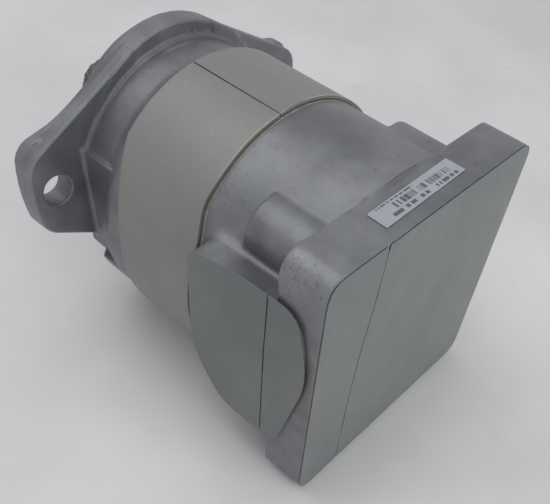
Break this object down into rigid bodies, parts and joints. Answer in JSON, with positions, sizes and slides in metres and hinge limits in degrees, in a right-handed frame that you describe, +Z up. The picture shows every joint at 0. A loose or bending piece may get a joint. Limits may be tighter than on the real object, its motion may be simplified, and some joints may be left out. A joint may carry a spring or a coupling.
{
  "type": "axial piston pump",
  "caption": "Swash plate axial piston pump with a two-bolt flange, splined shaft, round sleeved casing, side port pads and a square rear end.",
  "frame": {"origin": "centre of the drive shaft's end face, on the shaft axis, 66 mm in front of the mounting flange's front face", "axes": "+Y from the flange to the square rear end along the shaft, +Z up with the casing hanging below the shaft axis, +X through the left flange ear"},
  "size_m": [0.213, 0.2724, 0.1828],
  "materials": {
    "cast_iron": "as-cast grey iron, oiled, worn bright on the edges",
    "sleeve_sheet": "matt warm grey sheet",
    "protective_film": "matt blue-grey masking film with faint wrinkles",
    "label_paper": "pale blue-white paper",
    "ground_steel": "ground and hardened",
    "bearing_steel": "polished bearing steel",
    "spring_steel": "oil-tempered",
    "black_steel": "black oxide",
    "bronze": "machined bronze",
    "seal_rubber": "nitrile",
    "gasket_paper": "gasket paper"
  },
  "bodies": {
    "housing": {"front_housing": "cast_iron", "rear_housing": "cast_iron", "housing_gasket": "gasket_paper", "housing_sleeve": "sleeve_sheet", "left_port_film": "protective_film", "right_port_film": "protective_film", "rear_film": "protective_film", "label": "label_paper", "front_bearing_outer_ring": "bearing_steel", "rear_bearing_outer_ring": "bearing_steel", "shaft_seal": "seal_rubber", "seal_retaining_ring": "spring_steel", "cradle_bearing_left": "bronze", "cradle_bearing_right": "bronze", "valve_plate": "bronze", "valve_plate_pin": "ground_steel", "stroking_piston_guide": "ground_steel", "bias_spring": "spring_steel", "bias_spring_seat": "ground_steel", "compensator_spring": "spring_steel", "compensator_plug": "black_steel", "rear_cover": "ground_steel", "drain_plug": "black_steel", "housing_bolt_1": "black_steel", "housing_bolt_2": "black_steel", "housing_bolt_3": "black_steel", "housing_bolt_4": "black_steel"},
    "shaft": {"drive_shaft": "ground_steel", "front_bearing_inner_ring": "bearing_steel", "rear_bearing_inner_ring": "bearing_steel", "cylinder_barrel": "ground_steel", "barrel_spring": "spring_steel", "retainer_ball": "ground_steel"},
    "front_cage": {"front_bearing_roller_cage": "bearing_steel"},
    "rear_cage": {"rear_bearing_roller_cage": "bearing_steel"},
    "swash": {"swash_plate": "ground_steel"},
    "retainer": {"retainer_plate": "ground_steel"},
    "stroking_piston": {"stroking_piston": "ground_steel"},
    "bias_piston": {"bias_piston": "ground_steel"},
    "compensator_spool": {"compensator_spool": "ground_steel"},
    "piston_1": {"piston_1": "ground_steel"},
    "slipper_1": {"slipper_1": "bronze"},
    "piston_2": {"piston_2": "ground_steel"},
    "slipper_2": {"slipper_2": "bronze"},
    "piston_3": {"piston_3": "ground_steel"},
    "slipper_3": {"slipper_3": "bronze"},
    "piston_4": {"piston_4": "ground_steel"},
    "slipper_4": {"slipper_4": "bronze"},
    "piston_5": {"piston_5": "ground_steel"},
    "slipper_5": {"slipper_5": "bronze"},
    "piston_6": {"piston_6": "ground_steel"},
    "slipper_6": {"slipper_6": "bronze"},
    "piston_7": {"piston_7": "ground_steel"},
    "slipper_7": {"slipper_7": "bronze"},
    "piston_8": {"piston_8": "ground_steel"},
    "slipper_8": {"slipper_8": "bronze"},
    "piston_9": {"piston_9": "ground_steel"},
    "slipper_9": {"slipper_9": "bronze"}
  },
  "joints": [
    {"name": "shaft_spin", "type": "hinge", "parent": "housing", "child": "shaft", "pos_m": [0, 0, 0], "axis": [0, 1, 0], "continuous": true},
    {"name": "front_cage_spin", "type": "hinge", "parent": "housing", "child": "front_cage", "pos_m": [0, 0.081, 0], "axis": [0, 1, 0], "continuous": true},
    {"name": "rear_cage_spin", "type": "hinge", "parent": "housing", "child": "rear_cage", "pos_m": [0, 0.232, 0], "axis": [0, 1, 0], "continuous": true},
    {"name": "swash_tilt", "type": "hinge", "parent": "housing", "child": "swash", "pos_m": [0, 0.14, 0], "axis": [1, 0, 0], "range_deg": [0, 17]},
    {"name": "retainer_spin", "type": "hinge", "parent": "swash", "child": "retainer", "pos_m": [0, 0.14, 0], "axis": [0, 1, 0], "continuous": true},
    {"name": "stroking_piston_slide", "type": "slide", "parent": "housing", "child": "stroking_piston", "axis": [0, 1, 0], "range_m": [-0.00005, 0.02023]},
    {"name": "bias_piston_slide", "type": "slide", "parent": "housing", "child": "bias_piston", "axis": [0, 1, 0], "range_m": [-0.00005, 0.01865]},
    {"name": "slipper_1_turn", "type": "hinge", "parent": "retainer", "child": "slipper_1", "pos_m": [0, 0.14, 0.033], "axis": [0, 1, 0], "continuous": true},
    {"name": "piston_1_swivel", "type": "hinge", "parent": "slipper_1", "child": "piston_1", "pos_m": [0, 0.14, 0.033], "axis": [1, 0, 0], "range_deg": [-17.1, 0.1]},
    {"name": "slipper_2_turn", "type": "hinge", "parent": "retainer", "child": "slipper_2", "pos_m": [0.02121, 0.14, 0.02528], "axis": [0, 1, 0], "continuous": true},
    {"name": "piston_2_swivel", "type": "hinge", "parent": "slipper_2", "child": "piston_2", "pos_m": [0.02121, 0.14, 0.02528], "axis": [1, 0, 0], "range_deg": [-17.1, 0.1]},
    {"name": "slipper_3_turn", "type": "hinge", "parent": "retainer", "child": "slipper_3", "pos_m": [0.0325, 0.14, 0.00573], "axis": [0, 1, 0], "continuous": true},
    {"name": "piston_3_swivel", "type": "hinge", "parent": "slipper_3", "child": "piston_3", "pos_m": [0.0325, 0.14, 0.00573], "axis": [1, 0, 0], "range_deg": [-17.1, 0.1]},
    {"name": "slipper_4_turn", "type": "hinge", "parent": "retainer", "child": "slipper_4", "pos_m": [0.02858, 0.14, -0.0165], "axis": [0, 1, 0], "continuous": true},
    {"name": "piston_4_swivel", "type": "hinge", "parent": "slipper_4", "child": "piston_4", "pos_m": [0.02858, 0.14, -0.0165], "axis": [1, 0, 0], "range_deg": [-17.1, 0.1]},
    {"name": "slipper_5_turn", "type": "hinge", "parent": "retainer", "child": "slipper_5", "pos_m": [0.01129, 0.14, -0.03101], "axis": [0, 1, 0], "continuous": true},
    {"name": "piston_5_swivel", "type": "hinge", "parent": "slipper_5", "child": "piston_5", "pos_m": [0.01129, 0.14, -0.03101], "axis": [1, 0, 0], "range_deg": [-17.1, 0.1]},
    {"name": "slipper_6_turn", "type": "hinge", "parent": "retainer", "child": "slipper_6", "pos_m": [-0.01129, 0.14, -0.03101], "axis": [0, 1, 0], "continuous": true},
    {"name": "piston_6_swivel", "type": "hinge", "parent": "slipper_6", "child": "piston_6", "pos_m": [-0.01129, 0.14, -0.03101], "axis": [1, 0, 0], "range_deg": [-17.1, 0.1]},
    {"name": "slipper_7_turn", "type": "hinge", "parent": "retainer", "child": "slipper_7", "pos_m": [-0.02858, 0.14, -0.0165], "axis": [0, 1, 0], "continuous": true},
    {"name": "piston_7_swivel", "type": "hinge", "parent": "slipper_7", "child": "piston_7", "pos_m": [-0.02858, 0.14, -0.0165], "axis": [1, 0, 0], "range_deg": [-17.1, 0.1]},
    {"name": "slipper_8_turn", "type": "hinge", "parent": "retainer", "child": "slipper_8", "pos_m": [-0.0325, 0.14, 0.00573], "axis": [0, 1, 0], "continuous": true},
    {"name": "piston_8_swivel", "type": "hinge", "parent": "slipper_8", "child": "piston_8", "pos_m": [-0.0325, 0.14, 0.00573], "axis": [1, 0, 0], "range_deg": [-17.1, 0.1]},
    {"name": "slipper_9_turn", "type": "hinge", "parent": "retainer", "child": "slipper_9", "pos_m": [-0.02121, 0.14, 0.02528], "axis": [0, 1, 0], "continuous": true},
    {"name": "piston_9_swivel", "type": "hinge", "parent": "slipper_9", "child": "piston_9", "pos_m": [-0.02121, 0.14, 0.02528], "axis": [1, 0, 0], "range_deg": [-17.1, 0.1]},
    {"name": "compensator_spool_slide", "type": "slide", "parent": "housing", "child": "compensator_spool", "axis": [1, 0, 0], "range_m": [0, 0.003]}
  ],
  "couplings": [
    {"joint": "front_cage_spin", "follows": "shaft_spin", "ratio": 0.416},
    {"joint": "rear_cage_spin", "follows": "shaft_spin", "ratio": 0.422},
    {"joint": "retainer_spin", "follows": "shaft_spin", "ratio": 1},
    {"joint": "stroking_piston_slide", "follows": "swash_tilt", "m_per_rad": 0.068},
    {"joint": "bias_piston_slide", "follows": "swash_tilt", "m_per_rad": 0.0627},
    {"joint": "slipper_1_turn", "follows": "shaft_spin", "ratio": -1},
    {"joint": "piston_1_swivel", "follows": "swash_tilt", "ratio": -1},
    {"joint": "slipper_2_turn", "follows": "shaft_spin", "ratio": -1},
    {"joint": "piston_2_swivel", "follows": "swash_tilt", "ratio": -1},
    {"joint": "slipper_3_turn", "follows": "shaft_spin", "ratio": -1},
    {"joint": "piston_3_swivel", "follows": "swash_tilt", "ratio": -1},
    {"joint": "slipper_4_turn", "follows": "shaft_spin", "ratio": -1},
    {"joint": "piston_4_swivel", "follows": "swash_tilt", "ratio": -1},
    {"joint": "slipper_5_turn", "follows": "shaft_spin", "ratio": -1},
    {"joint": "piston_5_swivel", "follows": "swash_tilt", "ratio": -1},
    {"joint": "slipper_6_turn", "follows": "shaft_spin", "ratio": -1},
    {"joint": "piston_6_swivel", "follows": "swash_tilt", "ratio": -1},
    {"joint": "slipper_7_turn", "follows": "shaft_spin", "ratio": -1},
    {"joint": "piston_7_swivel", "follows": "swash_tilt", "ratio": -1},
    {"joint": "slipper_8_turn", "follows": "shaft_spin", "ratio": -1},
    {"joint": "piston_8_swivel", "follows": "swash_tilt", "ratio": -1},
    {"joint": "slipper_9_turn", "follows": "shaft_spin", "ratio": -1},
    {"joint": "piston_9_swivel", "follows": "swash_tilt", "ratio": -1}
  ]
}
